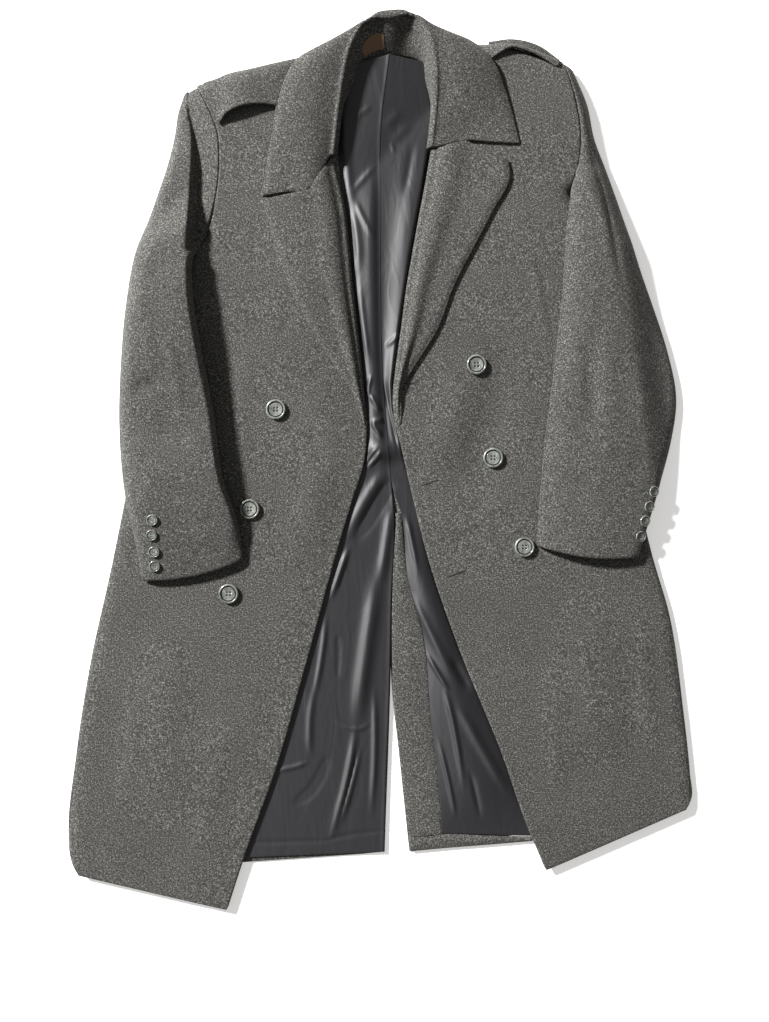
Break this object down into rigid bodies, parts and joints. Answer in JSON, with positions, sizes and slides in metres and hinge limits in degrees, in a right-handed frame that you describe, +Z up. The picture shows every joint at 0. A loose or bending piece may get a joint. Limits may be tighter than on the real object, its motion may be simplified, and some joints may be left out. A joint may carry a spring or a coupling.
{
  "type": "double-breasted overcoat",
  "caption": "Grey melange wool overcoat with notched lapels, shoulder straps, a back vent and black satin lining, laid open on its back",
  "frame": {"origin": "centre of the bounding box on the floor the coat lies on", "axes": "+X towards the wearer's left, +Y from hem to collar, +Z up from the floor"},
  "size_m": [0.8404, 1.1938, 0.0492],
  "materials": {
    "wool": "charcoal salt-and-pepper wool coating, faint twill, matt with a short nap",
    "satin_lining": "black satin, soft gloss",
    "horn_plastic": "grey pearly horn-look plastic, polished",
    "label_weave": "plain dark woven label, left bare"
  },
  "bodies": {
    "root": {"back_left": "wool", "back_right": "wool", "collar_fall": "wool", "collar_stand": "wool", "front_left": "wool", "front_right": "wool", "hem_facing": "wool", "lapel_left": "wool", "lapel_right": "wool", "strap_left": "wool", "strap_right": "wool", "top_sleeve_left": "wool", "top_sleeve_right": "wool", "under_sleeve_left": "wool", "under_sleeve_right": "wool", "vent_facing": "wool", "lining_left": "satin_lining", "lining_right": "satin_lining", "button_left_1": "horn_plastic", "button_left_2": "horn_plastic", "button_left_3": "horn_plastic", "button_right_1": "horn_plastic", "button_right_2": "horn_plastic", "button_right_3": "horn_plastic", "cuff_button_left_1": "horn_plastic", "cuff_button_left_2": "horn_plastic", "cuff_button_left_3": "horn_plastic", "cuff_button_left_4": "horn_plastic", "cuff_button_right_1": "horn_plastic", "cuff_button_right_2": "horn_plastic", "cuff_button_right_3": "horn_plastic", "cuff_button_right_4": "horn_plastic", "label": "label_weave"}
  },
  "joints": []
}
